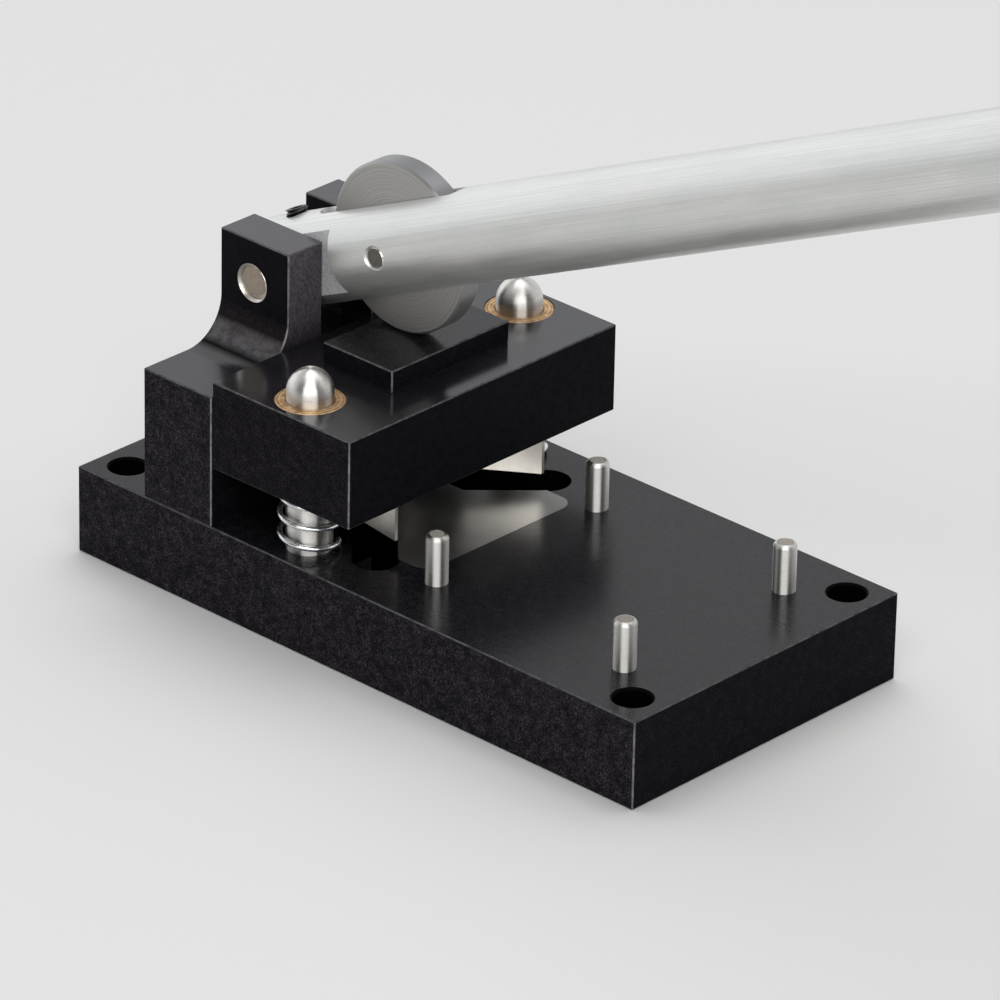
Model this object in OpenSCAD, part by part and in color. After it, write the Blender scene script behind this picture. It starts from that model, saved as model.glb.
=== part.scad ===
// Drive cleat notcher: a lever press that notches the end of a strip of sheet metal.
// Millimetres, +Z up. The origin is the middle of the base plate's underside.
// +X points to the end where the strip goes in, and the lever rises towards it.

/* [Base] */

// length of the base plate
base_length = 203.2; // [195:0.1:220]
// width of the base plate
base_width = 101.6; // [100:0.1:115]
// thickness of the base plate
base_thickness = 25.4; // [24:0.1:32]
// distance of the bench screw holes from the plate's edges
bench_hole_inset = 9.525; // [8.5:0.1:10.5]
// diameter of the bench screw holes
bench_hole_dia = 10.32; // [8:0.01:11]
// bright chamfer along the edges of the steel blocks
edge_break = 0.35; // [0.2:0.05:0.8]
// bright chamfer round the mouths of the drilled holes
mouth_break = 0.6; // [0.3:0.05:0.8]

/* [Pivot block] */

// distance of the block's back face from the back end of the base
block_setback = 25.4; // [22:0.1:27]
// length of the block along the base
block_length = 25.4; // [24:0.1:26]
// height of the block's body
block_height = 38.1; // [36:0.1:42]
// height of the ears above the body
ear_height = 31.75; // [30:0.1:36]
// clear width between the ears
ear_gap = 19.05; // [18.9:0.05:20]
// thickness of one ear
ear_thickness = 12.7; // [10:0.1:14]
// radius of the hollow fillet outside each ear
ear_fillet = 12.7; // [8:0.1:13]
// height of the lever's pivot above the base plate
pivot_height = 57.45; // [57:0.05:58]
// distance of the lever's pivot from the block's back face
pivot_setback = 11.9; // [11:0.1:13]
// diameter of the pivot pin
pivot_pin_dia = 9.525; // [8:0.005:10]
// depth of the pivot pin's ends below the ears' outer faces
pivot_pin_recess = 0.8; // [0.2:0.1:2]
// bright chamfer at the ends of the pivot pin and of the roller's axle
pin_break = 0.5; // [0.2:0.05:0.8]

/* [Lever] */

// diameter of the lever bar
lever_dia = 25.4; // [24:0.1:28]
// whole length of the lever bar
lever_length = 508; // [400:1:600]
// length of the bar behind the pivot
lever_tail = 11; // [8:0.1:12]
// thickness of the flatted tongue between the ears
tongue_thickness = 18.6; // [17:0.05:18.7]
// distance from the pivot to the shoulder where the flats end
shoulder_distance = 21.3; // [20.5:0.1:23]
// chamfer at the bar's free end
lever_end_break = 1.6; // [0.5:0.1:3]
// diameter of the set screw that holds the pivot pin
set_screw_dia = 6.35; // [5:0.05:7]
// length of that set screw
set_screw_length = 9.4; // [8:0.1:10]

/* [Roller] */

// diameter of the roller
roller_dia = 47.625; // [47:0.025:48]
// thickness of the roller
roller_thickness = 6.75; // [6:0.05:6.8]
// distance from the pivot to the roller's axle
roller_arm = 38.75; // [38:0.05:39.5]
// diameter of the roller's axle
axle_dia = 6.35; // [5:0.05:7]
// depth of the axle's ends below the side of the bar
axle_recess = 0.5; // [0.2:0.1:1.5]
// length of the slot through the bar
slot_length = 56; // [55:0.1:57]
// width of the slot through the bar
slot_width = 7.35; // [7.3:0.05:8]
// gap between roller and wear pad with the lever at rest
roller_pad_gap = 0.2; // [0.15:0.01:0.3]

/* [Punch plate] */

// gap between the pivot block and the sliding plate
plate_gap = 0.4; // [0.3:0.05:0.8]
// length of the plate along the base
plate_length = 50.4; // [50:0.1:51]
// thickness of the plate
plate_thickness = 25.4; // [25:0.1:25.8]
// height of the plate above the base at rest
plate_lift = 17.5; // [17:0.1:17.8]
// length of the wear pad along the base
pad_length = 25.4; // [24:0.1:27]
// width of the wear pad
pad_width = 44.45; // [44:0.05:50]
// thickness of the wear pad
pad_thickness = 6.35; // [6.1:0.05:6.6]

/* [Punch and die] */

// width of punch and die insert
die_width = 57.15; // [56:0.05:58]
// thickness of the die insert
die_thickness = 12.7; // [11.5:0.1:14]
// distance of the insert's front edge from the base's middle
die_front = 6.9; // [6.5:0.1:7.5]
// length of the insert's head, in front of its flares
die_head_length = 10.2; // [10:0.1:10.8]
// radius of the insert's front corners
die_corner = 4.76; // [3:0.01:6]
// width of the insert's tongue
die_tongue_width = 25.4; // [25:0.1:26]
// length of the tongue's straight sides
die_tongue_straight = 5.1; // [4.5:0.1:5.5]
// depth of the punch below its plate, at the front tips
punch_drop = 12.7; // [12.2:0.1:13]
// rise of the punch's lower face for each millimetre towards the back
punch_shear_share = 0.125; // [0.1:0.005:0.13]
// gap between the punch and the die insert's tongue
punch_gap = 0.2; // [0.15:0.01:0.3]
// thickness of the punch behind the tongue
punch_web = 4.1; // [3.5:0.1:4.5]
// length of the punch's wide sides, back from the tips
punch_side = 13.9; // [13:0.1:14.5]
// distance of the blunt tips behind the insert's flares
punch_tip_setback = 1.3; // [1:0.1:2]
// width of the punch behind its wide sides
punch_back_width = 50.8; // [50:0.1:51]
// radius of the punch's back corners
punch_corner = 3.2; // [3:0.1:4]

/* [Slug opening] */

// width of the opening behind the tongue
opening_width = 52.4; // [52:0.1:53]
// distance from the punch's back face to the end of the opening
opening_back_gap = 2.3; // [2:0.1:3]
// radius of the opening's back corners
opening_corner = 3.2; // [3:0.1:4]
// width of the slanted slots
slant_width = 12.2; // [11.9:0.1:12.3]
// diameter of the round lobes at the slots' ends
lobe_dia = 12.7; // [12.5:0.1:13]
// distance of the lobes' centres behind the base's middle
lobe_setback = 7.2; // [7:0.1:7.4]
// distance of the lobes' centres from the middle plane
lobe_offset = 33; // [32.8:0.1:33.4]
// relief of the support under the die insert
support_relief = 0.8; // [0.4:0.1:1.5]

/* [Posts, bushes and springs] */

// diameter of the guide posts
post_dia = 12.7; // [12:0.05:13]
// distance between the guide posts
post_spacing = 79.375; // [79:0.025:80]
// depth of the posts in the base
post_seat = 19.05; // [16:0.05:21]
// height of the round tops' centres above the plate
post_dome_rise = 2.6; // [1:0.1:5]
// outer diameter of the bushes
bush_dia = 19.05; // [18:0.05:20]
// chamfer at the ends of the bushes
bush_break = 0.4; // [0.2:0.05:0.6]
// diameter of the spring wire
spring_wire_dia = 1.5; // [1.2:0.05:1.6]
// radius of the wire's centre line
spring_radius = 7.8; // [7.7:0.05:8.2]
// turns of each spring, without the straight ends
spring_turns = 2.5; // [2:0.25:3.5]
// direction in which the spring's lower end stands
spring_start_angle = 49; // [0:1:359]
// diameter of the strip guide pins
strip_pin_dia = 6.35; // [5.5:0.05:7]
// height of the strip guide pins above the base
strip_pin_height = 14; // [10:0.1:16]
// depth of the strip guide pins in the base
strip_pin_seat = 17.75; // [12:0.05:20]
// distance across the strip between two guide pins
strip_pin_spacing = 61.46; // [60:0.02:64]
// distance of the inner pair of pins in front of the base's middle
strip_pin_inner = 12.7; // [12:0.1:14]
// distance of the outer pair of pins in front of the base's middle
strip_pin_outer = 79.4; // [60:0.1:85]
// radius at the top edge of the strip guide pins
strip_pin_round = 1.2; // [0.5:0.1:2]

/* [Screws] */

// thread diameter of the pivot block's screws
block_screw_dia = 9.525; // [8:0.005:10]
// length of the pivot block's screws
block_screw_length = 31.75; // [28:0.05:36]
// distance of the outer block screws from the middle plane
block_screw_offset = 34.925; // [30:0.005:38]
// thread diameter of the die insert's screws
die_screw_dia = 6.35; // [5:0.05:6.5]
// length of the die insert's screws
die_screw_length = 12.7; // [11:0.1:14]
// distance of the front die screws from the middle plane
die_screw_offset = 17.5; // [15:0.1:19]
// thread diameter of the screws in punch and wear pad
small_screw_dia = 4.826; // [4:0.002:5]
// length of the screws in punch and wear pad
small_screw_length = 25.4; // [24.5:0.1:25.5]
// distance of the punch screws from the middle plane
punch_screw_offset = 18; // [17.5:0.1:18.2]
// distance between the two rows of punch screws
punch_screw_pitch = 11.5; // [11:0.1:12]
// distance of the wear pad's screws from the middle plane
pad_screw_offset = 8; // [7.5:0.1:8.2]

/* [Fits] */

// gap round a pressed pin, on the radius
press_gap = 0.02; // [0.01:0.005:0.03]
// gap round a turning or sliding pin, on the radius
running_gap = 0.05; // [0.02:0.01:0.08]
// gap round a screw's thread, on the radius
thread_gap = 0.1; // [0.05:0.01:0.2]
// gap round a screw's head, on the radius
head_gap = 0.4; // [0.2:0.05:0.6]
// gap beyond the end of a screw or its head
end_gap = 0.3; // [0.2:0.05:0.5]

/* [Hidden] */

$fn = 64;

// sides of a hexagon socket and shares of a socket screw's parts, taken from its thread diameter
socket_sides = 6;
head_dia_share = 1.55;
socket_dia_share = 0.9;
socket_depth_share = 0.5;
set_socket_dia_share = 0.6;
// flare angle of the insert and of the slanted slots
flare_angle = 45;
// how far a cut runs past a face
overrun = 1;

blackened = "#2e2c30";
blackened_brown = "#38302f";
ground_steel = "#b4b1ac";
turned_steel = "#8f8e8c";
bright_aluminium = "#c8cbcc";
bronze = "#b08a4c";
zinc = "#c9ccd0";
screw_black = "#1d1d1f";

base_half_length = base_length / 2;
base_half_width = base_width / 2;
block_back_x = -base_half_length + block_setback;
block_front_x = block_back_x + block_length;
block_middle_x = (block_back_x + block_front_x) / 2;
block_top_z = base_thickness + block_height;
ear_top_z = block_top_z + ear_height;
ear_outer_y = ear_gap / 2 + ear_thickness;

pivot_x = block_back_x + pivot_setback;
pivot_z = base_thickness + pivot_height;

plate_back_x = block_front_x + plate_gap;
plate_front_x = plate_back_x + plate_length;
plate_middle_x = (plate_back_x + plate_front_x) / 2;
plate_bottom_z = base_thickness + plate_lift;
plate_top_z = plate_bottom_z + plate_thickness;
pad_top_z = plate_top_z + pad_thickness;
post_y = post_spacing / 2;

roller_z = pad_top_z + roller_pad_gap + roller_dia / 2;
lever_angle = asin((roller_z - pivot_z) / roller_arm);

flare_run = (die_width - die_tongue_width) / 2;
flare_corner_x = die_front - die_head_length;
tongue_root_x = flare_corner_x - flare_run;
tongue_round_x = tongue_root_x - die_tongue_straight;
tongue_radius = die_tongue_width / 2;
punch_tip_x = flare_corner_x - punch_tip_setback;
punch_back_x = tongue_round_x - tongue_radius - punch_gap - punch_web;
punch_side_x = punch_tip_x - punch_side;
opening_back_x = punch_back_x - opening_back_gap;
punch_bottom_z = plate_bottom_z - punch_drop;
die_screw_x = (die_front + flare_corner_x) / 2;
punch_screw_x = tongue_round_x - (punch_screw_pitch - die_tongue_straight) / 2;

small_head_dia = small_screw_dia * head_dia_share;
block_counterbore = block_screw_dia + end_gap;
die_counterbore = die_screw_dia + end_gap;
small_counterbore = small_screw_dia + end_gap;

// Shapes that several pieces share

// an outline with all four corners cut off
module broken_rectangle(length, width, corner) {
    x = length / 2;
    y = width / 2;
    polygon([[x - corner, -y], [x, -y + corner], [x, y - corner], [x - corner, y],
        [-x + corner, y], [-x, y - corner], [-x, -y + corner], [-x + corner, -y]]);
}

// a block centred on X and Y that stands on Z zero, with a chamfer along every edge
module broken_block(length, width, height, chamfer) {
    intersection() {
        linear_extrude(height) broken_rectangle(length, width, chamfer);
        translate([0, width / 2, height / 2])
            rotate([90, 0, 0])
            linear_extrude(width) broken_rectangle(length, height, chamfer);
        translate([-length / 2, 0, height / 2])
            rotate([90, 0, 90])
            linear_extrude(length) broken_rectangle(width, height, chamfer);
    }
}

// a cut for a hole down from Z zero, with a chamfered mouth
module drilled_hole(dia, depth, chamfer) {
    translate([0, 0, -depth]) cylinder(h = depth + overrun, d = dia);
    translate([0, 0, -chamfer])
        cylinder(h = chamfer + overrun, d1 = dia, d2 = dia + 2 * (chamfer + overrun));
}

// a socket screw, its thread down from Z zero and its head above
module socket_screw(dia, length) {
    socket_depth = dia * socket_depth_share;
    difference() {
        union() {
            translate([0, 0, -length + mouth_break]) cylinder(h = length - mouth_break, d = dia);
            translate([0, 0, -length])
                cylinder(h = mouth_break, d1 = dia - 2 * mouth_break, d2 = dia);
            cylinder(h = dia, d = dia * head_dia_share);
        }
        translate([0, 0, dia - socket_depth])
            cylinder(h = socket_depth + overrun, d = dia * socket_dia_share, $fn = socket_sides);
    }
}

// a cut for a screw that goes in upwards: counterbore below Z zero, clearance hole above
module screw_way_up(dia, depth) {
    translate([0, 0, -dia - end_gap - overrun])
        cylinder(h = dia + end_gap + overrun, d = dia * head_dia_share + 2 * head_gap);
    cylinder(h = depth, d = dia + 2 * thread_gap);
}

module both_sides() {
    children();
    mirror([0, 1, 0]) children();
}

// Outlines of insert, punch and opening, seen from above

// the die insert, its outline moved outwards by grow
module die_outline(grow) {
    flare_grow = grow / cos(flare_angle);
    half_width = die_width / 2 + grow;
    half_tongue = tongue_radius + grow;
    corner = die_corner + grow;
    front = die_front + grow;
    flare_shift = flare_grow - grow;
    translate([tongue_round_x, 0]) circle(r = half_tongue);
    both_sides() {
        polygon([[tongue_round_x, 0], [front, 0], [front, half_width - corner],
            [front - corner, half_width - corner], [front - corner, half_width],
            [flare_corner_x - flare_shift, half_width],
            [tongue_root_x - flare_shift, half_tongue], [tongue_round_x, half_tongue]]);
        translate([front - corner, half_width - corner]) circle(r = corner);
    }
}

// the punch, open towards the front
module punch_outline() {
    half_width = die_width / 2;
    half_back = punch_back_width / 2;
    turn_in = half_width - half_back;
    difference() {
        union() {
            both_sides() {
                polygon([[punch_back_x + punch_corner, 0], [punch_tip_x, 0],
                    [punch_tip_x, half_width], [punch_side_x, half_width],
                    [punch_side_x - turn_in, half_back],
                    [punch_back_x + punch_corner, half_back]]);
                translate([punch_back_x, 0]) square([punch_corner, half_back - punch_corner]);
                translate([punch_back_x + punch_corner, half_back - punch_corner])
                    circle(r = punch_corner);
            }
        }
        die_outline(punch_gap);
    }
}

// the way through the base for the cut piece
module opening_outline() {
    half_width = opening_width / 2;
    slot_run = lobe_offset / sin(flare_angle);
    difference() {
        union() {
            both_sides() {
                translate([opening_back_x + opening_corner, 0])
                    square([-lobe_setback - opening_back_x - opening_corner, half_width]);
                translate([opening_back_x, 0]) square([opening_corner, half_width - opening_corner]);
                translate([opening_back_x + opening_corner, half_width - opening_corner])
                    circle(r = opening_corner);
                translate([-lobe_setback, lobe_offset]) circle(d = lobe_dia);
                translate([-lobe_setback, lobe_offset])
                    rotate([0, 0, -flare_angle])
                    translate([-slant_width / 2, -slot_run / 2])
                    square([slant_width, slot_run / 2]);
            }
        }
        die_outline(-support_relief);
    }
}

// Places

module at_bench_holes() {
    x = base_half_length - bench_hole_inset;
    y = base_half_width - bench_hole_inset;
    for (side_x = [-x, x], side_y = [-y, y]) translate([side_x, side_y, 0]) children();
}

module at_block_screws() {
    for (y = [-block_screw_offset, 0, block_screw_offset])
        translate([block_middle_x, y, block_counterbore]) children();
}

module at_die_screws() {
    places = [[die_screw_x, -die_screw_offset], [die_screw_x, die_screw_offset], [tongue_round_x, 0]];
    for (place = places) translate([place[0], place[1], die_counterbore]) children();
}

module at_punch_screws() {
    for (x = [punch_screw_x - punch_screw_pitch / 2, punch_screw_x + punch_screw_pitch / 2])
        for (y = [-punch_screw_offset, punch_screw_offset])
            translate([x, y, plate_top_z - small_counterbore]) children();
}

module at_pad_screws() {
    for (y = [-pad_screw_offset, pad_screw_offset])
        translate([plate_middle_x, y, plate_bottom_z + small_counterbore]) children();
}

module at_strip_pins() {
    y = strip_pin_spacing / 2;
    for (x = [strip_pin_inner, strip_pin_outer], side = [-y, y])
        translate([x, side, base_thickness - strip_pin_seat]) children();
}

// the lever's own frame: the pivot at the origin, +X along the bar
module on_lever() {
    translate([pivot_x, 0, pivot_z]) rotate([0, -lever_angle, 0]) children();
}

// a straight bore across the tool, centred on the middle plane
module cross_bore(dia, length) {
    rotate([90, 0, 0]) cylinder(h = length, d = dia, center = true);
}

// a pin or disc across the tool, centred on the middle plane, with a chamfer at both ends
module cross_pin(dia, length, chamfer) {
    radius = dia / 2;
    half = length / 2;
    rotate([90, 0, 0]) rotate_extrude()
        polygon([[0, -half], [radius - chamfer, -half], [radius, -half + chamfer],
            [radius, half - chamfer], [radius - chamfer, half], [0, half]]);
}

// Pieces on the base

module base_plate() {
    color(blackened) difference() {
        broken_block(base_length, base_width, base_thickness, edge_break);
        at_bench_holes() translate([0, 0, base_thickness])
            drilled_hole(bench_hole_dia, base_thickness + overrun, mouth_break);
        translate([0, 0, base_thickness - die_thickness])
            linear_extrude(die_thickness + overrun) die_outline(press_gap);
        translate([0, 0, -overrun])
            linear_extrude(base_thickness + 2 * overrun) opening_outline();
        both_sides() translate([plate_middle_x, post_y, base_thickness - post_seat])
            cylinder(h = post_seat + overrun, d = post_dia + 2 * press_gap);
        at_strip_pins()
            cylinder(h = strip_pin_seat + overrun, d = strip_pin_dia + 2 * press_gap);
        at_block_screws() screw_way_up(block_screw_dia, base_thickness);
        at_die_screws() screw_way_up(die_screw_dia, base_thickness);
    }
}

// the hollow fillet between an ear and the body, with its chamfers at both ends
module ear_web() {
    fillet_y = ear_outer_y + ear_fillet;
    fillet_z = block_top_z + ear_fillet;
    cone_height = edge_break + overrun;
    difference() {
        translate([block_back_x, ear_outer_y - edge_break, block_top_z - edge_break])
            cube([block_length, ear_fillet + edge_break, ear_fillet + edge_break]);
        translate([block_middle_x, fillet_y, fillet_z]) rotate([0, 90, 0]) {
            cylinder(h = block_length + 2 * overrun, r = ear_fillet, center = true);
            for (end = [0, 1]) mirror([0, 0, end])
                translate([0, 0, block_length / 2 - edge_break])
                cylinder(h = cone_height, r1 = ear_fillet, r2 = ear_fillet + cone_height);
        }
    }
}

module pivot_block() {
    thread_depth = block_counterbore + block_screw_length + end_gap - base_thickness;
    pin_hole_dia = pivot_pin_dia + 2 * running_gap;
    color(blackened_brown) difference() {
        union() {
            translate([block_middle_x, 0, base_thickness])
                broken_block(block_length, base_width, block_height, edge_break);
            both_sides() {
                translate([block_middle_x, ear_outer_y - ear_thickness / 2, base_thickness])
                    broken_block(block_length, ear_thickness, block_height + ear_height, edge_break);
                ear_web();
            }
        }
        translate([pivot_x, 0, pivot_z]) cross_bore(pin_hole_dia, 2 * ear_outer_y + 2 * overrun);
        both_sides() translate([pivot_x, ear_outer_y, pivot_z]) rotate([-90, 0, 0])
            drilled_hole(pin_hole_dia, ear_thickness, mouth_break);
        at_block_screws() translate([0, 0, base_thickness - block_counterbore - overrun])
            cylinder(h = thread_depth + overrun, d = block_screw_dia + 2 * thread_gap);
    }
}

module pivot_block_screws() {
    color(screw_black) at_block_screws()
        rotate([180, 0, 0]) socket_screw(block_screw_dia, block_screw_length);
}

module guide_post() {
    dome_z = plate_top_z + post_dome_rise;
    bottom_z = base_thickness - post_seat;
    color(ground_steel) translate([plate_middle_x, post_y, 0]) {
        translate([0, 0, bottom_z]) cylinder(h = dome_z - bottom_z, d = post_dia);
        translate([0, 0, dome_z]) sphere(d = post_dia);
    }
}

module guide_post_near() {
    mirror([0, 1, 0]) guide_post();
}

module guide_post_far() {
    guide_post();
}

module strip_guide_pins() {
    length = strip_pin_seat + strip_pin_height;
    radius = strip_pin_dia / 2;
    shaft_radius = radius - strip_pin_round;
    color(ground_steel) at_strip_pins() rotate_extrude() {
        square([radius, length - strip_pin_round]);
        square([shaft_radius, length]);
        intersection() {
            translate([shaft_radius, length - strip_pin_round]) circle(r = strip_pin_round);
            translate([shaft_radius, length - strip_pin_round])
                square([strip_pin_round, strip_pin_round]);
        }
    }
}

module die_insert() {
    thread_depth = die_counterbore + die_screw_length + end_gap - base_thickness + die_thickness;
    color(ground_steel) difference() {
        translate([0, 0, base_thickness - die_thickness])
            linear_extrude(die_thickness) die_outline(0);
        at_die_screws()
            translate([0, 0, base_thickness - die_thickness - die_counterbore - overrun])
            cylinder(h = thread_depth + overrun, d = die_screw_dia + 2 * thread_gap);
    }
}

module die_screws() {
    color(screw_black) at_die_screws()
        rotate([180, 0, 0]) socket_screw(die_screw_dia, die_screw_length);
}

// Springs, each one unbroken wire

spring_rings = 8;
spring_sides = 6;
spring_steps = round(spring_turns * spring_rings);
spring_rise = plate_lift - 2 * spring_wire_dia;
spring_slope = atan(spring_rise / (spring_turns * 2 * PI * spring_radius));
// angle of the wire to the vertical: none in the straight ends, and nearly square in the turns
turn_tilt = 90 - spring_slope;
// centre direction, height, tilt and mitre of each ring, from the foot to the top
spring_path = concat(
    [[spring_start_angle, 0, 0, 1]],
    [for (step = [0:spring_steps])
        let (at_end = step == 0 || step == spring_steps,
            tilt = at_end ? turn_tilt / 2 : turn_tilt,
            mitre = at_end ? 1 / cos(turn_tilt / 2) : 1)
        [spring_start_angle - 360 * step / spring_rings,
            spring_wire_dia + spring_rise * step / spring_steps, tilt, mitre]],
    [[spring_start_angle - 360 * spring_steps / spring_rings, plate_lift, 0, 1]]);

// one corner of a ring: across from the axis, and along the slanting second direction
function ring_corner(ring, corner) =
    let (turn = ring[0], tilt = ring[2], spin = 360 * corner / spring_sides,
        across = spring_radius + spring_wire_dia / 2 * cos(spin),
        along = spring_wire_dia / 2 * sin(spin) * ring[3])
    [across * cos(turn) - along * cos(tilt) * sin(turn),
        across * sin(turn) + along * cos(tilt) * cos(turn),
        ring[1] + along * sin(tilt)];

spring_points = [for (ring = spring_path, corner = [0:spring_sides - 1]) ring_corner(ring, corner)];
spring_last = len(spring_path) - 1;

function ring_index(ring, corner) = ring * spring_sides + corner % spring_sides;

spring_faces = concat(
    [for (corner = [1:spring_sides - 2]) [0, corner, corner + 1]],
    [for (ring = [0:spring_last - 1], corner = [0:spring_sides - 1])
        [ring_index(ring, corner), ring_index(ring + 1, corner), ring_index(ring + 1, corner + 1)]],
    [for (ring = [0:spring_last - 1], corner = [0:spring_sides - 1])
        [ring_index(ring, corner), ring_index(ring + 1, corner + 1), ring_index(ring, corner + 1)]],
    [for (corner = [1:spring_sides - 2])
        [ring_index(spring_last, 0), ring_index(spring_last, corner + 1),
            ring_index(spring_last, corner)]]);

// least distance between points that lie at least half a turn apart along the wire
spring_self_gap = min([for (ring = [0:spring_last - spring_rings / 2])
    for (other = [ring + spring_rings / 2:spring_last])
        for (corner = [0:spring_sides - 1], facing = [0:spring_sides - 1])
            norm(spring_points[ring_index(ring, corner)]
                - spring_points[ring_index(other, facing)])]);
echo(spring_self_gap = spring_self_gap);

module return_spring() {
    color(zinc) translate([plate_middle_x, post_y, base_thickness])
        polyhedron(points = spring_points, faces = spring_faces);
}

module return_spring_near() {
    translate([0, -post_spacing, 0]) return_spring();
}

module return_spring_far() {
    return_spring();
}

// Pieces that slide on the posts

module punch_plate() {
    color(blackened) difference() {
        translate([plate_middle_x, 0, plate_bottom_z])
            broken_block(plate_length, base_width, plate_thickness, edge_break);
        both_sides() translate([plate_middle_x, post_y, plate_bottom_z - overrun])
            cylinder(h = plate_thickness + 2 * overrun, d = bush_dia + 2 * press_gap);
        at_punch_screws() rotate([180, 0, 0]) screw_way_up(small_screw_dia, plate_thickness);
        at_pad_screws() screw_way_up(small_screw_dia, plate_thickness);
    }
}

module guide_bush() {
    inner = post_dia / 2 + running_gap;
    outer = bush_dia / 2;
    color(bronze) translate([plate_middle_x, post_y, plate_bottom_z]) rotate_extrude()
        polygon([[inner + bush_break, 0], [outer - bush_break, 0], [outer, bush_break],
            [outer, plate_thickness - bush_break], [outer - bush_break, plate_thickness],
            [inner + bush_break, plate_thickness], [inner, plate_thickness - bush_break],
            [inner, bush_break]]);
}

module guide_bush_near() {
    mirror([0, 1, 0]) guide_bush();
}

module guide_bush_far() {
    guide_bush();
}

module punch() {
    back_bottom_z = punch_bottom_z + (punch_tip_x - punch_back_x) * punch_shear_share;
    thread_depth = small_counterbore + small_screw_length + end_gap - plate_thickness;
    color(ground_steel) difference() {
        intersection() {
            translate([0, 0, punch_bottom_z]) linear_extrude(punch_drop) punch_outline();
            translate([0, die_width / 2 + overrun, 0])
                rotate([90, 0, 0])
                linear_extrude(die_width + 2 * overrun)
                polygon([[punch_back_x, back_bottom_z], [punch_tip_x, punch_bottom_z],
                    [punch_tip_x, plate_bottom_z], [punch_back_x, plate_bottom_z]]);
        }
        at_punch_screws()
            translate([0, 0, plate_bottom_z - plate_top_z + small_counterbore - thread_depth])
            cylinder(h = thread_depth + overrun, d = small_screw_dia + 2 * thread_gap);
    }
}

module punch_screws() {
    color(screw_black) at_punch_screws() socket_screw(small_screw_dia, small_screw_length);
}

module wear_pad() {
    thread_depth = small_counterbore + small_screw_length + end_gap - plate_thickness;
    color(blackened) difference() {
        translate([plate_middle_x, 0, plate_top_z])
            broken_block(pad_length, pad_width, pad_thickness, edge_break);
        at_pad_screws()
            translate([0, 0, plate_thickness - small_counterbore - overrun])
            cylinder(h = thread_depth + overrun, d = small_screw_dia + 2 * thread_gap);
    }
}

module wear_pad_screws() {
    color(screw_black) at_pad_screws()
        rotate([180, 0, 0]) socket_screw(small_screw_dia, small_screw_length);
}

// Pieces on the lever

module lever_bar() {
    radius = lever_dia / 2;
    slot_half = (slot_length - slot_width) / 2;
    color(bright_aluminium) on_lever() difference() {
        translate([-lever_tail, 0, 0]) rotate([0, 90, 0]) rotate_extrude()
            polygon([[0, 0], [radius, 0], [radius, lever_length - lever_end_break],
                [radius - lever_end_break, lever_length], [0, lever_length]]);
        both_sides() translate([-lever_tail - overrun, tongue_thickness / 2, -radius])
            cube([lever_tail + shoulder_distance + overrun, radius, lever_dia]);
        translate([roller_arm, 0, 0]) {
            cube([2 * slot_half, slot_width, lever_dia + 2 * overrun], center = true);
            for (x = [-slot_half, slot_half])
                translate([x, 0, 0])
                    cylinder(h = lever_dia + 2 * overrun, d = slot_width, center = true);
            cross_bore(axle_dia + 2 * press_gap, lever_dia + 2 * overrun);
            both_sides() translate([0, radius, 0]) rotate([-90, 0, 0])
                drilled_hole(axle_dia + 2 * press_gap, mouth_break, mouth_break);
        }
        cross_bore(pivot_pin_dia + 2 * press_gap, lever_dia);
        cylinder(h = radius + overrun, d = set_screw_dia + 2 * press_gap);
    }
}

module pivot_pin() {
    color(ground_steel) on_lever()
        cross_pin(pivot_pin_dia, 2 * (ear_outer_y - pivot_pin_recess), pin_break);
}

module lever_set_screw() {
    foot_dia = set_screw_dia - 2 * mouth_break;
    socket_depth = set_screw_dia * socket_depth_share;
    color(screw_black) on_lever() translate([0, 0, pivot_pin_dia / 2]) difference() {
        union() {
            cylinder(h = mouth_break, d1 = foot_dia, d2 = set_screw_dia);
            translate([0, 0, mouth_break])
                cylinder(h = set_screw_length - 2 * mouth_break, d = set_screw_dia);
            translate([0, 0, set_screw_length - mouth_break])
                cylinder(h = mouth_break, d1 = set_screw_dia, d2 = foot_dia);
        }
        translate([0, 0, set_screw_length - socket_depth])
            cylinder(h = socket_depth + overrun, d = set_screw_dia * set_socket_dia_share,
                $fn = socket_sides);
    }
}

module roller() {
    color(turned_steel) on_lever() translate([roller_arm, 0, 0]) difference() {
        cross_pin(roller_dia, roller_thickness, mouth_break);
        cross_bore(axle_dia + 2 * running_gap, roller_thickness + 2 * overrun);
    }
}

module roller_axle() {
    color(ground_steel) on_lever() translate([roller_arm, 0, 0])
        cross_pin(axle_dia, lever_dia - 2 * axle_recess, pin_break);
}

base_plate();
pivot_block();
pivot_block_screws();
guide_post_near();
guide_post_far();
guide_bush_near();
guide_bush_far();
return_spring_near();
return_spring_far();
strip_guide_pins();
die_insert();
die_screws();
punch_plate();
punch();
punch_screws();
wear_pad();
wear_pad_screws();
lever_bar();
pivot_pin();
lever_set_screw();
roller();
roller_axle();
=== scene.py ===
# Drive cleat notcher in a plain studio: camera, light, finishes, wound springs and set screw.
import functools
import math

import bmesh
import bpy
from mathutils import Matrix, Vector


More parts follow.
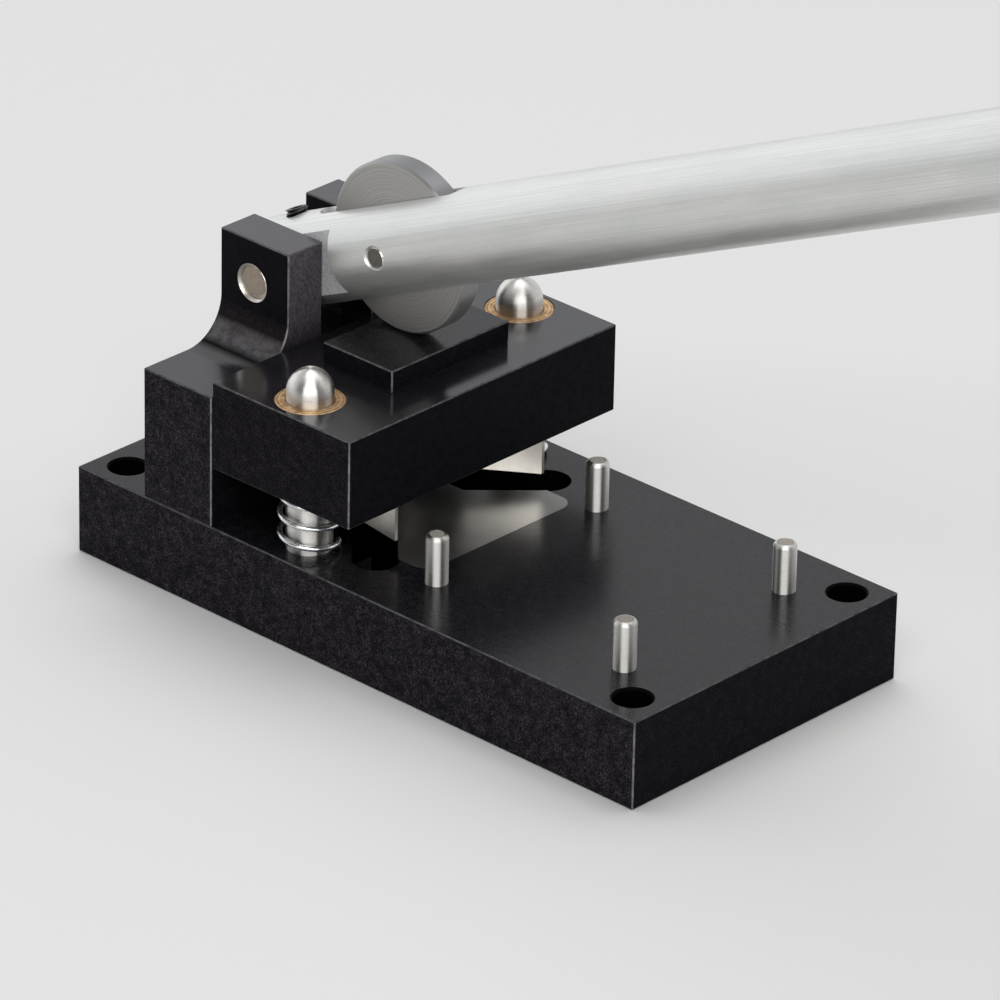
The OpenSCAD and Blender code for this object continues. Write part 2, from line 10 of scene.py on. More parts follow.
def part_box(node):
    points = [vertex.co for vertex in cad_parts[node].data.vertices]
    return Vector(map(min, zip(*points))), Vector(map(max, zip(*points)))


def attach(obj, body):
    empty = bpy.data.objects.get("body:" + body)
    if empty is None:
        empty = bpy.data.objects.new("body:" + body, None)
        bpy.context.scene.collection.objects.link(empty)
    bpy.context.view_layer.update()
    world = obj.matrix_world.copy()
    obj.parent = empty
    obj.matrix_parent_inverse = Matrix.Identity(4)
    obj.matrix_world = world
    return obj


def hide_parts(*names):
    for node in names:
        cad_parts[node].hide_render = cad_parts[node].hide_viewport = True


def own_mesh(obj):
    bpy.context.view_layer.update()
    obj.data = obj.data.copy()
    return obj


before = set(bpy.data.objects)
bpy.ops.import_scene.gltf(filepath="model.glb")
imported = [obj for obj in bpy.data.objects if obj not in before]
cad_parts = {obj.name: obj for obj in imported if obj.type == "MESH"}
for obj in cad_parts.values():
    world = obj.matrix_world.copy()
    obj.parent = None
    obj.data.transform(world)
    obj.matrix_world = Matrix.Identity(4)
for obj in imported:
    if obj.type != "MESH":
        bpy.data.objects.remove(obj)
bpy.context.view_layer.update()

MM = 0.001


# Places taken from the frame, in metres

def middle_of(node):
    low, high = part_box(node)
    return (low + high) / 2


base_low, base_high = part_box("base_plate")
block_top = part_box("pivot_block")[1].z
plate_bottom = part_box("punch_plate")[0].z
roller_middle = middle_of("roller")
pivot_middle = middle_of("pivot_pin")
lever_angle = math.atan2(roller_middle.z - pivot_middle.z, roller_middle.x - pivot_middle.x)


# Camera: a long lens from the right and above, as in the photograph

CAMERA_TURN = math.radians(-46.99)
CAMERA_RISE = math.radians(26.80)
CAMERA_ROLL = math.radians(1.13)
CAMERA_DISTANCE = 2.0886
CAMERA_TARGET = Vector((-0.00602, 0.01305, 0.02703))
SENSOR_WIDTH = 36
FOCAL_LENGTH = 282.5
FARTHEST_SEEN = 50


def add_camera():
    camera = bpy.data.objects.new("camera", bpy.data.cameras.new("camera"))
    bpy.context.scene.collection.objects.link(camera)
    turn = (Matrix.Rotation(CAMERA_TURN + math.pi / 2, 3, "Z")
            @ Matrix.Rotation(math.pi / 2 - CAMERA_RISE, 3, "X")
            @ Matrix.Rotation(CAMERA_ROLL, 3, "Z"))
    place = CAMERA_TARGET + turn @ Vector((0, 0, CAMERA_DISTANCE))
    camera.matrix_world = Matrix.Translation(place) @ turn.to_4x4()
    camera.data.sensor_width = SENSOR_WIDTH
    camera.data.lens = FOCAL_LENGTH
    camera.data.clip_end = FARTHEST_SEEN
    bpy.context.scene.camera = camera


# Node trees

def hex_colour(text):
    """A colour written as sRGB hex, turned to the linear values that the shaders take."""
    channels = [int(text[i:i + 2], 16) / 255 for i in (0, 2, 4)]
    linear = [c / 12.92 if c <= 0.04045 else ((c + 0.055) / 1.055) ** 2.4 for c in channels]
    return (*linear, 1)


def add_node(tree, kind, inputs=(), **settings):
    """Adds a node with its settings. Inputs go to its open sockets in order, or by name. Each
    is a value, a hex colour, a node's output, or a node, which gives its first output."""
    node = tree.nodes.new("ShaderNode" + kind)
    for name, value in settings.items():
        setattr(node, name, value)
    if not isinstance(inputs, dict):
        inputs = dict(zip([socket for socket in node.inputs if socket.enabled], inputs))
    for key, value in inputs.items():
        socket = node.inputs[key] if isinstance(key, str) else key
        if isinstance(value, bpy.types.Node):
            value = next(output for output in value.outputs if output.enabled)
        if isinstance(value, bpy.types.NodeSocket):
            tree.links.new(value, socket)
        else:
            socket.default_value = hex_colour(value) if isinstance(value, str) else value
    return node


def start_material(name):
    """An empty material, a function that adds nodes to it, and the place and the direction
    of its surface."""
    material = bpy.data.materials.new(name)
    material.use_nodes = True
    material.node_tree.nodes.clear()
    add = functools.partial(add_node, material.node_tree)
    coordinates = add("TexCoord")
    return material, add, coordinates.outputs["Object"], coordinates.outputs["Normal"]


def finish_material(material, add, inputs):
    add("OutputMaterial", [add("BsdfPrincipled", inputs)])
    return material


def grain(add, spot, sizes, detail=3.0):
    """Noise whose patches have the given sizes in millimetres along X, Y and Z. Most of it
    lies between 0.3 and 0.7."""
    scaled = add("Mapping", {"Vector": spot, "Scale": [1 / (size * MM) for size in sizes]})
    return add("TexNoise", {"Vector": scaled, "Scale": 1.0, "Detail": detail, "Roughness": 0.6})


def joined(add, first, second, second_share):
    """Two patterns in one, the second with the given share."""
    parts = [add("Math", [pattern, share], operation="MULTIPLY")
             for pattern, share in ((first, 1 - second_share), (second, second_share))]
    return add("Math", parts, operation="ADD")


def two_tone(add, factor, low, high, first, second):
    """The first colour where a factor is at its low value, and the second at its high one."""
    share = add("MapRange", [factor, low, high, 0, 1])
    return add("Mix", [share, first, second], data_type="RGBA")


def facing(add, normal):
    """Shares of the surface's own direction along X, Y and Z, each from 0 to 1."""
    sizes = add("VectorMath", [normal], operation="ABSOLUTE")
    return add("SeparateXYZ", [sizes]).outputs


def worn_and_highlit_edges(add, spot, normal):
    """1 on the narrow chamfers of standing edges, less on the level ones, 0 on flat faces."""
    # the grey that this marks on chamfers is rubbed wear and a painted highlight
    way = facing(add, normal)
    flattest = add("Math", [way["X"], way["Y"]], operation="MAXIMUM")
    flattest = add("Math", [flattest, way["Z"]], operation="MAXIMUM")
    slanting = add("MapRange", [flattest, 0.80, 0.90, 1, 0])
    standing = add("MapRange", [way["Z"], 0.3, 0.6, 1, 0.45])
    rubbed = add("MapRange", [grain(add, spot, (2, 2, 2)), 0.3, 0.6, 0.4, 1])
    wear_and_highlight = add("Math", [standing, rubbed], operation="MULTIPLY")
    return add("Math", [slanting, wear_and_highlight], operation="MULTIPLY")


def hole_walls(add, parts, corner):
    """1 inside the outline of a plate whose far corner is given. A standing wall there belongs
    to a hole, because the chamfers of the outline end 0.5 mm in."""
    shares = []
    for axis, edge in zip("XY", corner):
        reach = add("Math", [parts[axis]], operation="ABSOLUTE")
        shares.append(add("MapRange", [reach, edge - 0.6 * MM, edge - 0.5 * MM, 1, 0]))
    return add("Math", shares, operation="MULTIPLY")


def radius_about(add, spot, centre, axis):
    """The distance from a line through a centre, along "Y" or "Z"."""
    centred = add("VectorMath", [spot, centre], operation="SUBTRACT")
    level = (1, 0, 1) if axis == "Y" else (1, 1, 0)
    across = add("VectorMath", [centred, level], operation="MULTIPLY")
    return add("VectorMath", [across], operation="LENGTH")


def turned_rings(add, spot, centre, axis, width_mm):
    """Uneven marks of a lathe tool round a line through a centre, from 0 to 1."""
    rings = add("TexNoise", {
        "W": radius_about(add, spot, centre, axis),
        "Scale": 1 / (width_mm * MM),
        "Detail": 3.0,
        "Roughness": 0.7,
    }, noise_dimensions="1D")
    return add("MapRange", [rings, 0.3, 0.7, 0, 1])


# Materials

# depths below the block's top between which the ears' finish starts
EARS_FROM = 30 * MM
EARS_FULL = 20 * MM
# the chamfer of the pivot pin's bore ends between these distances from its axis
BORE_FULL = 5.42 * MM
BORE_END = 5.46 * MM


def oiled_black_oxide(name, sawn_share, ear_share, gloss, blur, outline=None):
    """Black oxide on steel, wiped with oil. The ground tops are dark grey and mirror softly.
    Sides are nearly black and dull, and sawn ones have a fine violet-grey fleck. The ears are
    milled: smooth sides, mottled ends and paler tops. Edges are grey, both rubbed wear and a
    painted highlight, and the bore for the pivot pin is bare steel. The insides of holes
    within an outline stay black, painted darker than the oxide as painted shade."""
    material, add, spot, normal = start_material(name)
    way = facing(add, normal)
    parts = add("SeparateXYZ", [spot]).outputs
    end, side, top = [add("MapRange", [way[axis], 0.9, 0.97, 0, 1]) for axis in "XYZ"]
    ears = add("MapRange", [parts["Z"], block_top - EARS_FROM, block_top - EARS_FULL, 0, 1])
    ears = add("Math", [ear_share, ears], operation="MULTIPLY")
    sawn = add("Math", [sawn_share, side], operation="MULTIPLY")
    beside_ears = add("MapRange", [ears, 0, 1, 1, 0.15])
    sawn = add("Math", [sawn, beside_ears], operation="MULTIPLY")
    # the curved foot of an ear faces partly up
    foot = add("MapRange", [way["Z"], 0.1, 0.5, 0, 1])
    foot = add("Math", [ears, foot], operation="MULTIPLY")
    bore = radius_about(add, spot, pivot_middle, "Y")
    bore = add("MapRange", [bore, BORE_FULL, BORE_END, 1, 0])
    bore = add("Math", [ear_share, bore], operation="MULTIPLY")
    # edges: rubbed wear and a painted highlight, painted as grey metal on the chamfers
    edge = worn_and_highlit_edges(add, spot, normal)

    # coarser than the real fleck: 0.3 mm is about one point of the picture
    flecks = grain(add, spot, (0.3, 0.3, 0.4), 2.0)
    patches = add("MapRange", [grain(add, spot, (2.5, 2.5, 2.5), 4.0), 0.35, 0.65, 0.35, 1.25])
    flecked = add("MapRange", [flecks, 0.42, 0.72, 0, 1])
    flecked = add("Math", [flecked, patches], operation="MULTIPLY")
    # marks of the milling cutter on the ears' ends, 0.5 mm wide
    mottles = grain(add, spot, (0.5, 0.5, 1.0), 4.0)
    clouds = grain(add, spot, (14, 14, 20))
    ear_end = two_tone(add, mottles, 0.35, 0.7, "4a454c", "746d75")
    ear_top = two_tone(add, clouds, 0.35, 0.65, "38363c", "424045")
    sawn_tone = add("Mix", [flecked, "0d0c10", "504a54"], data_type="RGBA")
    end_tone = add("Mix", [flecked, "0e0d11", "29262e"], data_type="RGBA")
    end_tone = add("Mix", [ears, end_tone, ear_end], data_type="RGBA")
    top_tone = add("Mix", [flecked, "100f12", "2f2c31"], data_type="RGBA")
    top_tone = add("Mix", [ears, top_tone, ear_top], data_type="RGBA")

    # each layer lies over those before it
    layers = [(foot, "342c2c"), (sawn, sawn_tone), (end, end_tone)]
    if outline:
        # painted shade: the insides of holes get 050506, darker than the oxide anywhere else
        shaded_hole_walls = hole_walls(add, parts, outline)
        layers.append((shaded_hole_walls, "050506"))
        outside = add("MapRange", [shaded_hole_walls, 0, 1, 1, 0])
        edge = add("Math", [edge, outside], operation="MULTIPLY")
    # 8d8a8c on the edges is rubbed wear and a painted highlight
    layers += [(top, top_tone), (edge, "8d8a8c"), (bore, "d8d3cc")]
    colour = two_tone(add, clouds, 0.35, 0.65, "08070a", "0e0c11")
    for share, tone in layers:
        colour = add("Mix", [share, colour, tone], data_type="RGBA")
    # the metal on the edges is partly a painted highlight; on the bore it is bare steel
    bare = add("Math", [edge, bore], operation="MAXIMUM")
    rough_side = add("MapRange", [bore, 0, 1, 0.58, 0.3])
    rough_top = add("MapRange", [clouds, 0.3, 0.7, 0.30, 0.38])
    return finish_material(material, add, {
        "Base Color": colour,
        "Metallic": add("MapRange", [bare, 0, 1, 0, 0.7]),
        "Roughness": add("MapRange", [top, 0, 1, rough_side, rough_top]),
        "Specular IOR Level": 0.03,
        "Coat Weight": add("MapRange", [top, 0, 1, 0, gloss]),
        "Coat Roughness": blur,
        "Coat IOR": 2.0,
        "Normal": add("Bump", {"Height": flecks, "Strength": 0.12, "Distance": 0.02 * MM}),
    })


# half the width over the milled flats of the lever's tongue
TONGUE_HALF = 9.3 * MM
# on the skin of the 25.4 mm bar this many to the radian are 0.4 mm apart
DIE_LINES_PER_RADIAN = 32.0


def drawn_aluminium():
    """Drawn 6061 bar, lightly brushed: pale satin grey with fine lines along the bar. The
    milled flats of its tongue are dull and mottled, and its sawn ends are dull."""
    material, add, spot, normal = start_material("drawn_aluminium")
    # X along the bar, so the lever's lift is taken out
    centred = add("VectorMath", [spot, pivot_middle], operation="SUBTRACT")
    laid = add("Mapping", {"Vector": centred, "Rotation": (0, lever_angle, 0)})
    parts = add("SeparateXYZ", [laid]).outputs
    round_bar = add("Math", [parts["Y"], parts["Z"]], operation="ARCTAN2")
    die_lines = add("TexNoise", {
        "W": round_bar,
        "Scale": DIE_LINES_PER_RADIAN,
        "Detail": 3.0,
        "Roughness": 0.7,
    }, noise_dimensions="1D")
    lines = joined(add, die_lines, grain(add, laid, (60, 0.4, 0.4)), 0.5)
    clouds = grain(add, laid, (22, 5, 5), 4.0)
    specks = grain(add, laid, (1.2, 0.8, 0.8), 2.0)
    line_share = add("MapRange", [lines, 0.4, 0.65, 0, 0.5])
    speck_share = add("MapRange", [specks, 0.62, 0.75, 0, 0.2])
    drawn = two_tone(add, clouds, 0.3, 0.7, "dadbd9", "e8e7e4")
    drawn = add("Mix", [line_share, drawn, "bdc0be"], data_type="RGBA")
    drawn = add("Mix", [speck_share, drawn, "f2f3f0"], data_type="RGBA")
    mill_marks = grain(add, laid, (0.8, 0.8, 0.8))
    milled = two_tone(add, mill_marks, 0.35, 0.65, "d2d3d5", "eeeff0")
    way = facing(add, normal)
    off_middle = add("Math", [parts["Y"]], operation="ABSOLUTE")
    on_tongue = add("MapRange", [off_middle, TONGUE_HALF + 0.1 * MM, TONGUE_HALF + 0.3 * MM,
                                 1, 0])
    flat = add("MapRange", [way["Y"], 0.9, 0.98, 0, 1])
    flat = add("Math", [on_tongue, flat], operation="MULTIPLY")
    sawn_end = add("MapRange", [way["X"], 0.88, 0.9, 0, 1])
    dull = add("Math", [flat, sawn_end], operation="MAXIMUM")
    satin = add("MapRange", [clouds, 0.3, 0.7, 0.36, 0.43])
    swells = add("Math", [clouds, 0.4], operation="MULTIPLY")
    height = add("Math", [lines, swells], operation="ADD")
    return finish_material(material, add, {
        "Base Color": add("Mix", [flat, drawn, milled], data_type="RGBA"),
        "Metallic": add("MapRange", [dull, 0, 1, 0.7, 0.3]),
        "Roughness": add("MapRange", [dull, 0, 1, satin, 0.65]),
        "Normal": add("Bump", {"Height": height, "Strength": 0.15, "Distance": 0.02 * MM}),
    })


def turned_pin_steel(name, end_tone, roughness):
    """Steel pin, ground round: bright, its highlights drawn out along the pin. A flat end is
    faced and duller."""
    material, add, spot, normal = start_material(name)
    # grinding lines 0.12 mm apart round the pin, coarser than the real ones
    fine = grain(add, spot, (3, 3, 0.12))
    skin = two_tone(add, fine, 0.3, 0.7, "cfccc7", "e6e3df")
    flat = add("MapRange", [facing(add, normal)["Z"], 0.97, 0.995, 0, 1])
    # round the pin, at right angles to its axis; the small part keeps it from being nothing
    around = add("VectorMath", [normal, (0, 0, 1)], operation="CROSS_PRODUCT")
    around = add("VectorMath", [around, (0.001, 0.0005, 0)], operation="ADD")
    return finish_material(material, add, {
        "Base Color": add("Mix", [flat, skin, end_tone], data_type="RGBA"),
        "Metallic": 1.0,
        "Roughness": add("MapRange", [flat, 0, 1, roughness, 0.55]),
        "Anisotropic": 0.95,
        "Anisotropic Rotation": 0.25,
        "Tangent": around,
        "Normal": add("Bump", {"Height": fine, "Strength": 0.08, "Distance": 0.01 * MM}),
    })


def turned_roller_steel():
    """Roller faced on a lathe: mid grey, with fine rings round its axle and a plain rim."""
    material, add, spot, normal = start_material("turned_roller_steel")
    # rings 0.4 mm wide, coarser than the tool's feed so that they show
    rings = turned_rings(add, spot, roller_middle, "Y", 0.4)
    uneven = add("MapRange", [grain(add, spot, (9, 9, 9)), 0.35, 0.65, 0, 0.6])
    flat = add("MapRange", [facing(add, normal)["Y"], 0.5, 0.9, 0, 1])
    face = add("Mix", [rings, "959390", "c0beba"], data_type="RGBA")
    face = add("Mix", [uneven, face, "aaa8a5"], data_type="RGBA")
    cut = add("Math", [rings, flat], operation="MULTIPLY")
    return finish_material(material, add, {
        "Base Color": add("Mix", [flat, "8a8a8b", face], data_type="RGBA"),
        "Metallic": 0.7,
        "Roughness": add("MapRange", [flat, 0, 1, 0.32, 0.40]),
        "Normal": add("Bump", {"Height": cut, "Strength": 0.35, "Distance": 0.02 * MM}),
    })


def faced_pin_steel(name, middle, light, dark):
    """Ground steel pin with faced ends: a dull grey disc inside a bright chamfer."""
    material, add, spot, normal = start_material(name)
    # rings 0.6 mm wide, coarser than the tool's feed so that they show
    rings = turned_rings(add, spot, middle, "Y", 0.6)
    marks = joined(add, rings, grain(add, spot, (1.2, 1.2, 1.2)), 0.65)
    face = two_tone(add, marks, 0.35, 0.65, dark, light)
    flat = add("MapRange", [facing(add, normal)["Y"], 0.75, 0.9, 0, 1])
    return finish_material(material, add, {
        "Base Color": add("Mix", [flat, "e2ded8", face], data_type="RGBA"),
        "Metallic": 1.0,
        "Roughness": add("MapRange", [flat, 0, 1, 0.25, 0.42]),
        "Normal": add("Bump", {"Height": marks, "Strength": 0.15, "Distance": 0.02 * MM}),
    })


def ground_tool_steel(name, light, dark, wall=None):
    """Hardened tool steel, surface ground: grey with fine straight scratches. Walls that were
    not ground keep a dark skin."""
    material, add, spot, normal = start_material(name)
    # scratches 0.15 mm wide, coarser than the wheel's grit so that they show
    scratches = grain(add, spot, (0.15, 30, 30))
    clouds = grain(add, spot, (8, 8, 8))
    marks = joined(add, scratches, clouds, 0.65)
    colour = two_tone(add, marks, 0.35, 0.65, dark, light)
    ground = 1.0
    if wall:
        ground = add("MapRange", [facing(add, normal)["Z"], 0.3, 0.6, 0, 1])
        colour = add("Mix", [ground, wall, colour], data_type="RGBA")
    return finish_material(material, add, {
        "Base Color": colour,
        "Metallic": ground,
        "Roughness": add("MapRange", [clouds, 0.3, 0.7, 0.32, 0.38]),
        "Specular IOR Level": 0.05,
        "Normal": add("Bump", {"Height": scratches, "Strength": 0.08, "Distance": 0.01 * MM}),
    })


def bearing_bronze(name, middle):
    """Plain bearing bronze, faced on a lathe and slightly tarnished: tan with fine rings."""
    material, add, spot, _ = start_material(name)
    # rings 0.6 mm wide, coarser than the tool's feed so that they show
    rings = turned_rings(add, spot, middle, "Z", 0.6)
    clouds = grain(add, spot, (1.5, 1.5, 1.5), 4.0)
    marks = joined(add, rings, clouds, 0.75)
    return finish_material(material, add, {
        "Base Color": two_tone(add, marks, 0.35, 0.65, "9c764e", "dcbb90"),
        "Metallic": 0.85,
        "Roughness": add("MapRange", [clouds, 0.3, 0.7, 0.42, 0.52]),
        "Normal": add("Bump", {"Height": marks, "Strength": 0.2, "Distance": 0.02 * MM}),
    })


def zinc_plated_wire():
    """Spring wire with bright zinc plate: a cool bright metal with soft spots."""
    material, add, spot, _ = start_material("zinc_plated_wire")
    clouds = grain(add, spot, (1.2, 1.2, 0.8))
    return finish_material(material, add, {
        "Base Color": two_tone(add, clouds, 0.3, 0.7, "d3d9da", "f0f3f3"),
        "Metallic": 1.0,
        "Roughness": add("MapRange", [clouds, 0.3, 0.7, 0.24, 0.32]),
        "Normal": add("Bump", {"Height": clouds, "Strength": 0.1, "Distance": 0.02 * MM}),
    })


def black_screw_steel():
    """Alloy steel screw with black oxide: black, with a low oily gloss."""
    material, add, spot, _ = start_material("black_screw_steel")
    clouds = grain(add, spot, (0.8, 0.8, 0.8))
    return finish_material(material, add, {
        "Base Color": two_tone(add, clouds, 0.3, 0.7, "121214", "242426"),
        "Metallic": 0.3,
        "Roughness": add("MapRange", [clouds, 0.3, 0.7, 0.3, 0.42]),
        "Normal": add("Bump", {"Height": clouds, "Strength": 0.2, "Distance": 0.02 * MM}),
    })


def paint(material, *nodes):
    """Gives CAD nodes one material."""
    for node in nodes:
        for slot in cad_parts[node].material_slots:
            slot.material = material


def paint_nodes(screw_steel):
    paint(oiled_black_oxide("oiled_black_block", sawn_share=1.0, ear_share=1.0, gloss=0.75,
                            blur=0.22), "pivot_block")
    paint(oiled_black_oxide("oiled_black_base", sawn_share=1.0, ear_share=0.0, gloss=0.42,
                            blur=0.2, outline=base_high), "base_plate")
    paint(oiled_black_oxide("oiled_black_plate", sawn_share=0.4, ear_share=0.0, gloss=0.85,
                            blur=0.16), "punch_plate")
    paint(oiled_black_oxide("oiled_black_pad", sawn_share=0.25, ear_share=0.0, gloss=0.5,
                            blur=0.24), "wear_pad")
    paint(turned_pin_steel("turned_post_steel", end_tone="c4c1bb", roughness=0.34),
          "guide_post_near", "guide_post_far")
    paint(turned_pin_steel("centreless_ground_pin", end_tone="96918a", roughness=0.42),
          "strip_guide_pins")
    paint(faced_pin_steel("faced_pivot_pin", pivot_middle, light="a3978b", dark="91857a"),
          "pivot_pin")
    paint(faced_pin_steel("faced_roller_axle", roller_middle, light="77736f", dark="64605c"),
          "roller_axle")
    paint(ground_tool_steel("ground_die_steel", light="b4b4b2", dark="a2a2a0", wall="070708"),
          "die_insert")
    paint(ground_tool_steel("ground_punch_steel", light="ece7df", dark="dad5cd"), "punch")
    for side in ("near", "far"):
        bush = "guide_bush_" + side
        paint(bearing_bronze("bearing_bronze_" + side, middle_of(bush)), bush)
    paint(drawn_aluminium(), "lever_bar")
    paint(turned_roller_steel(), "roller")
    paint(screw_steel, "pivot_block_screws", "die_screws", "punch_screws", "wear_pad_screws")


# Modelling

def select_none():
    bpy.ops.object.select_all(action="DESELECT")


def select_in_edit(piece, kind, chosen):
    """In edit mode, selects only the faces or points for which chosen(item) is true."""
    bpy.ops.mesh.select_mode(type=kind)
    bpy.ops.mesh.select_all(action="DESELECT")
    mesh = bmesh.from_edit_mesh(piece.data)
    for item in mesh.faces if kind == "FACE" else mesh.verts:
        if chosen(item):
            item.select_set(True)
    bmesh.update_edit_mesh(piece.data)


def add_ring(sides, radius, distance):
    """A standing ring of edges at a distance from Z, the section of what is wound round Z."""
    select_none()
    bpy.ops.mesh.primitive_circle_add(vertices=sides, radius=radius, fill_type="NOTHING",
                                      location=(distance, 0, 0),
                                      rotation=(math.pi / 2, 0, 0))
    bpy.ops.object.transform_apply(location=True, rotation=True, scale=True)
    return bpy.context.object


def wind_up(piece, turns, rise, steps_per_turn):
    """Turns a section round Z and lifts it as it goes, with the Screw modifier."""
    wind = piece.modifiers.new("wind", "SCREW")
    wind.axis = "Z"
    wind.angle = turns * 2 * math.pi
    wind.screw_offset = rise
    wind.steps = round(abs(turns) * steps_per_turn)
    wind.render_steps = wind.steps
    wind.use_merge_vertices = False
    bpy.ops.object.modifier_apply(modifier=wind.name)


def turn_outwards():
    """In edit mode, points all faces outwards."""
    bpy.ops.mesh.select_all(action="SELECT")
    bpy.ops.mesh.normals_make_consistent(inside=False)


def put_in_place(piece, location, rotation):
    """Moves and turns a piece, and applies both."""
    select_none()
    piece.select_set(True)
    bpy.context.view_layer.objects.active = piece
    piece.location = location
    piece.rotation_euler = rotation
    bpy.ops.object.transform_apply(location=True, rotation=True, scale=True)


# Return springs

SPRING_TURNS = 2.5
SPRING_WIRE = 1.5 * MM
SPRING_RADIUS = 7.8 * MM
SPRING_START = math.radians(49)
WIRE_SIDES = 20
STEPS_PER_TURN = 60
END_BEND_RADIUS = 1.0 * MM
END_BEND_STEPS = 6
# transform.rotate turns the other way without a window, so this sign was found by looking
END_TURN = math.radians(90)


def bend_end(turn, pivot):
    """Draws the selected end of the wire on, step by step, round a pivot along X."""
    for _ in range(END_BEND_STEPS):
        bpy.ops.mesh.extrude_region_move()
        bpy.ops.transform.rotate(value=turn / END_BEND_STEPS, orient_axis="X",
                                 orient_type="GLOBAL", center_override=pivot)


def wind_spring(rise):
    """A round wire wound left-handed. Both ends bend to stand on the base and the plate."""
    wire = add_ring(WIRE_SIDES, SPRING_WIRE / 2, SPRING_RADIUS)
    wind_up(wire, -SPRING_TURNS, rise, STEPS_PER_TURN)
    bpy.ops.object.mode_set(mode="EDIT")
    bpy.ops.mesh.select_mode(type="EDGE")
    bpy.ops.mesh.select_all(action="DESELECT")
    bpy.ops.mesh.select_non_manifold()
    bpy.ops.mesh.edge_face_add()
    straight = SPRING_WIRE - END_BEND_RADIUS
    for sign, height in ((1, 0), (-1, rise)):
        select_in_edit(wire, "FACE", lambda face: len(face.verts) == WIRE_SIDES
                       and face.calc_center_median().x * sign > 0)
        bend_end(END_TURN * sign, (sign * SPRING_RADIUS, 0, height - sign * END_BEND_RADIUS))
        bpy.ops.mesh.extrude_region_move(
            TRANSFORM_OT_translate={"value": (0, 0, -sign * straight)})
    turn_outwards()
    bpy.ops.object.mode_set(mode="OBJECT")
    bpy.ops.object.shade_smooth_by_angle(angle=math.radians(40))
    wire.data.materials.append(zinc_plated_wire())
    return wire


def add_springs():
    height = plate_bottom - base_high.z
    near = wind_spring(height - 2 * SPRING_WIRE)
    far = near.copy()
    far.data = near.data.copy()
    bpy.context.scene.collection.objects.link(far)
    for side, spring in (("near", near), ("far", far)):
        post = middle_of("guide_post_" + side)
        spring.name = "wound_spring_" + side
        put_in_place(spring, (post.x, post.y, base_high.z + SPRING_WIRE), (0, 0, SPRING_START))
        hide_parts("return_spring_" + side)
        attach(spring, "base")
        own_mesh(spring)


# Set screw

THREAD_PITCH = 1.27 * MM
THREAD_CREST = 3.15 * MM
THREAD_STEPS = 40
SCREW_LENGTH = 9.4 * MM
SOCKET_WIDTH = 3.18 * MM
SOCKET_DEPTH = 3.2 * MM
# above the first turn, which has no thread below it to close its wall
FIRST_CUT = 1.2 * THREAD_PITCH


def wind_thread():
    """A thread wound from an open outline: a four-sided ring without its innermost point."""
    turns = math.ceil(SCREW_LENGTH / THREAD_PITCH) + 2
    root = THREAD_CREST - THREAD_PITCH / 2
    thread = add_ring(4, THREAD_PITCH / 2, root)
    bpy.ops.object.mode_set(mode="EDIT")
    select_in_edit(thread, "VERT", lambda point: point.co.x < root - THREAD_PITCH / 4)
    bpy.ops.mesh.delete(type="VERT")
    bpy.ops.object.mode_set(mode="OBJECT")
    wind_up(thread, turns, turns * THREAD_PITCH, THREAD_STEPS)
    return thread


def cut_to_length(screw):
    """Closes the wound thread, cuts it flat at both ends and centres it on the origin."""
    bpy.ops.object.mode_set(mode="EDIT")
    bpy.ops.mesh.select_all(action="SELECT")
    bpy.ops.mesh.remove_doubles(threshold=0.01 * MM)
    for height, way in ((FIRST_CUT, -1), (FIRST_CUT + SCREW_LENGTH, 1)):
        bpy.ops.mesh.select_all(action="SELECT")
        bpy.ops.mesh.bisect(plane_co=(0, 0, height), plane_no=(0, 0, way), use_fill=True,
                            clear_outer=True)
    turn_outwards()
    bpy.ops.object.mode_set(mode="OBJECT")
    put_in_place(screw, (0, 0, -FIRST_CUT - SCREW_LENGTH / 2), (0, 0, 0))


def sink_socket(screw):
    """Cuts a hexagon socket into the upper end."""
    select_none()
    bpy.ops.mesh.primitive_cylinder_add(vertices=6, radius=SOCKET_WIDTH / math.sqrt(3),
                                        depth=2 * SOCKET_DEPTH,
                                        location=(0, 0, SCREW_LENGTH / 2))
    socket = bpy.context.object
    cut = screw.modifiers.new("socket", "BOOLEAN")
    cut.operation = "DIFFERENCE"
    cut.solver = "EXACT"
    cut.object = socket
    bpy.context.view_layer.objects.active = screw
    bpy.ops.object.modifier_apply(modifier=cut.name)
    bpy.data.objects.remove(socket)


def add_set_screw(material):
    """A threaded screw with a hexagon socket, in the bar above the pivot pin."""
    screw = wind_thread()
    screw.name = "threaded_set_screw"
    cut_to_length(screw)
    sink_socket(screw)
    put_in_place(screw, middle_of("lever_set_screw"), (0, -lever_angle, 0))
    bpy.ops.object.shade_smooth_by_angle(angle=math.radians(25))
    screw.data.materials.clear()
    screw.data.materials.append(material)
    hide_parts("lever_set_screw")
    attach(screw, "lever")


# Studio

FLOOR_SIZE = 16
# keeps the floor's face clear of the base's underside
FLOOR_GAP = 0.05 * MM
# the middle of the tool
LAMP_TARGET = Vector((0, 0, 0.07))
# the level part of the camera's view
AWAY_FROM_CAMERA = (-0.682, 0.731, 0)


def add_floor():
    select_none()
    bpy.ops.mesh.primitive_plane_add(size=FLOOR_SIZE, location=(0, 0, base_low.z - FLOOR_GAP))
    floor = bpy.context.object
    floor.name = "studio_floor"
    material, add, spot, _ = start_material("pale_floor")
    clouds = grain(add, spot, (900, 900, 900), 2.0)
    finish_material(material, add, {
        "Base Color": add("Mix", [clouds, "e3e3e1", "e9e9e7"], data_type="RGBA"),
        "Roughness": 0.9,
        "Specular IOR Level": 0.0,
    })
    floor.data.materials.append(material)


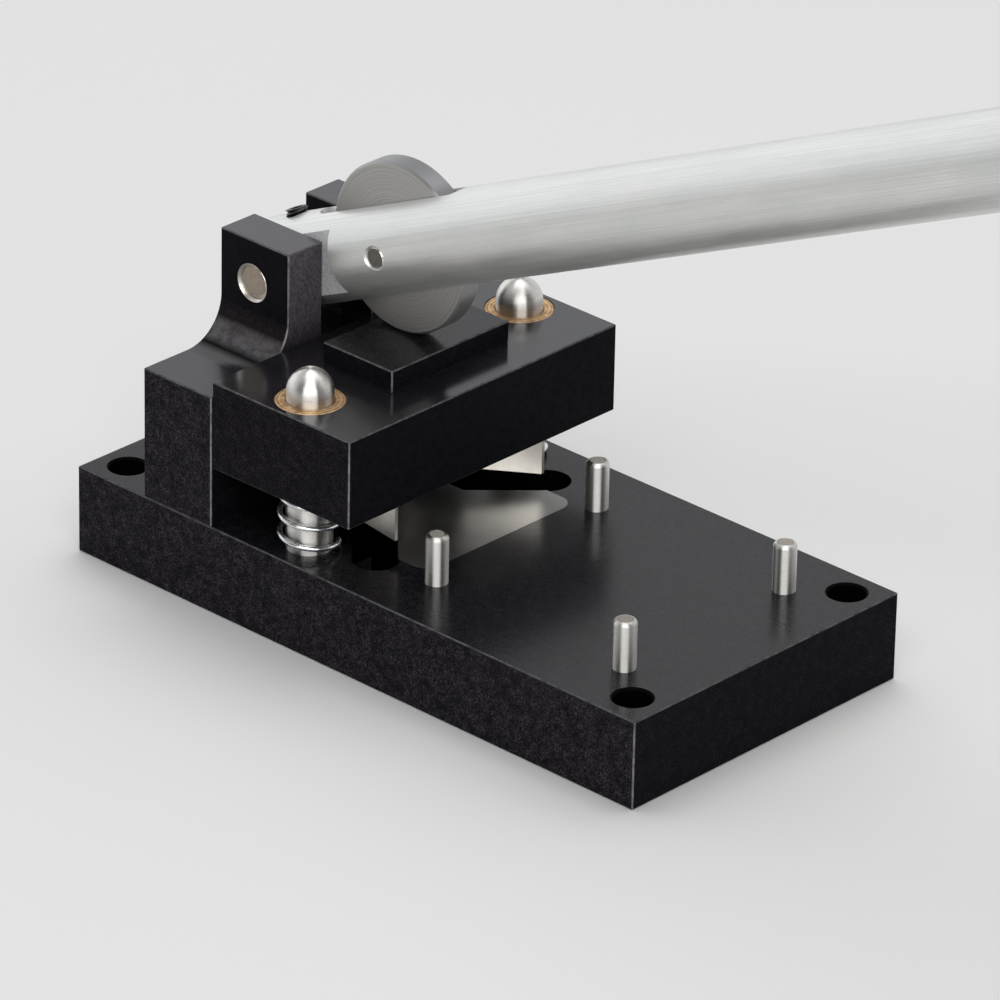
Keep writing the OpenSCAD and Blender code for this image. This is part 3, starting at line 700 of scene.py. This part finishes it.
def add_lamp(name, turn, rise, distance, width, height, watts):
    """A soft lamp seen from the tool's middle at a turn about Z and a rise above the floor,
    both in degrees."""
    turn = math.radians(turn)
    rise = math.radians(rise)
    way = Vector((math.cos(rise) * math.cos(turn), math.cos(rise) * math.sin(turn),
                  math.sin(rise)))
    lamp = bpy.data.objects.new(name, bpy.data.lights.new(name, "AREA"))
    bpy.context.scene.collection.objects.link(lamp)
    lamp.data.shape = "RECTANGLE"
    lamp.data.size = width
    lamp.data.size_y = height
    lamp.data.energy = watts
    lamp.location = LAMP_TARGET + way * distance
    lamp.rotation_euler = (-way).to_track_quat("-Z", "Y").to_euler()
    lamp.visible_camera = False
    return lamp


def add_lamps():
    """Two softboxes, and a bright card that shows only where metal mirrors it."""
    add_lamp("overhead_softbox", turn=120, rise=75, distance=2.6, width=2.1, height=2.1,
             watts=26)
    add_lamp("camera_softbox", turn=-47, rise=45, distance=3.8, width=2.85, height=1.27,
             watts=48)
    card = add_lamp("bright_card", turn=-47, rise=19, distance=3.2, width=4.2, height=1.3,
                    watts=62)
    card.visible_diffuse = False


def add_room():
    """The room's light, by its direction: dark on the camera's side, a little weaker high up,
    and brightest to the tool's left, which the lever mirrors."""
    world = bpy.data.worlds.new("studio_room")
    bpy.context.scene.world = world
    world.use_nodes = True
    world.node_tree.nodes.clear()
    add = functools.partial(add_node, world.node_tree)
    direction = add("TexCoord").outputs["Generated"]
    parts = add("SeparateXYZ", [direction]).outputs
    behind = add("VectorMath", [direction, AWAY_FROM_CAMERA], operation="DOT_PRODUCT")
    beside = add("MapRange", [behind, -0.45, -0.05, 0.03, 1.0])
    low_down = add("MapRange", [parts["Z"], 0.2, 0.5, 0.95, 0.72])
    past_lever = add("MapRange", [parts["X"], -0.93, -0.7, 0.55, 0.0])
    strength = add("Math", [beside, low_down], operation="MULTIPLY")
    strength = add("Math", [strength, past_lever], operation="ADD")
    add("OutputWorld", [add("Background", ["f1f3f5", strength])])


add_camera()
screw_black = black_screw_steel()
paint_nodes(screw_black)
add_springs()
add_set_screw(screw_black)
add_floor()
add_lamps()
add_room()
bpy.context.scene.view_settings.view_transform = "Standard"
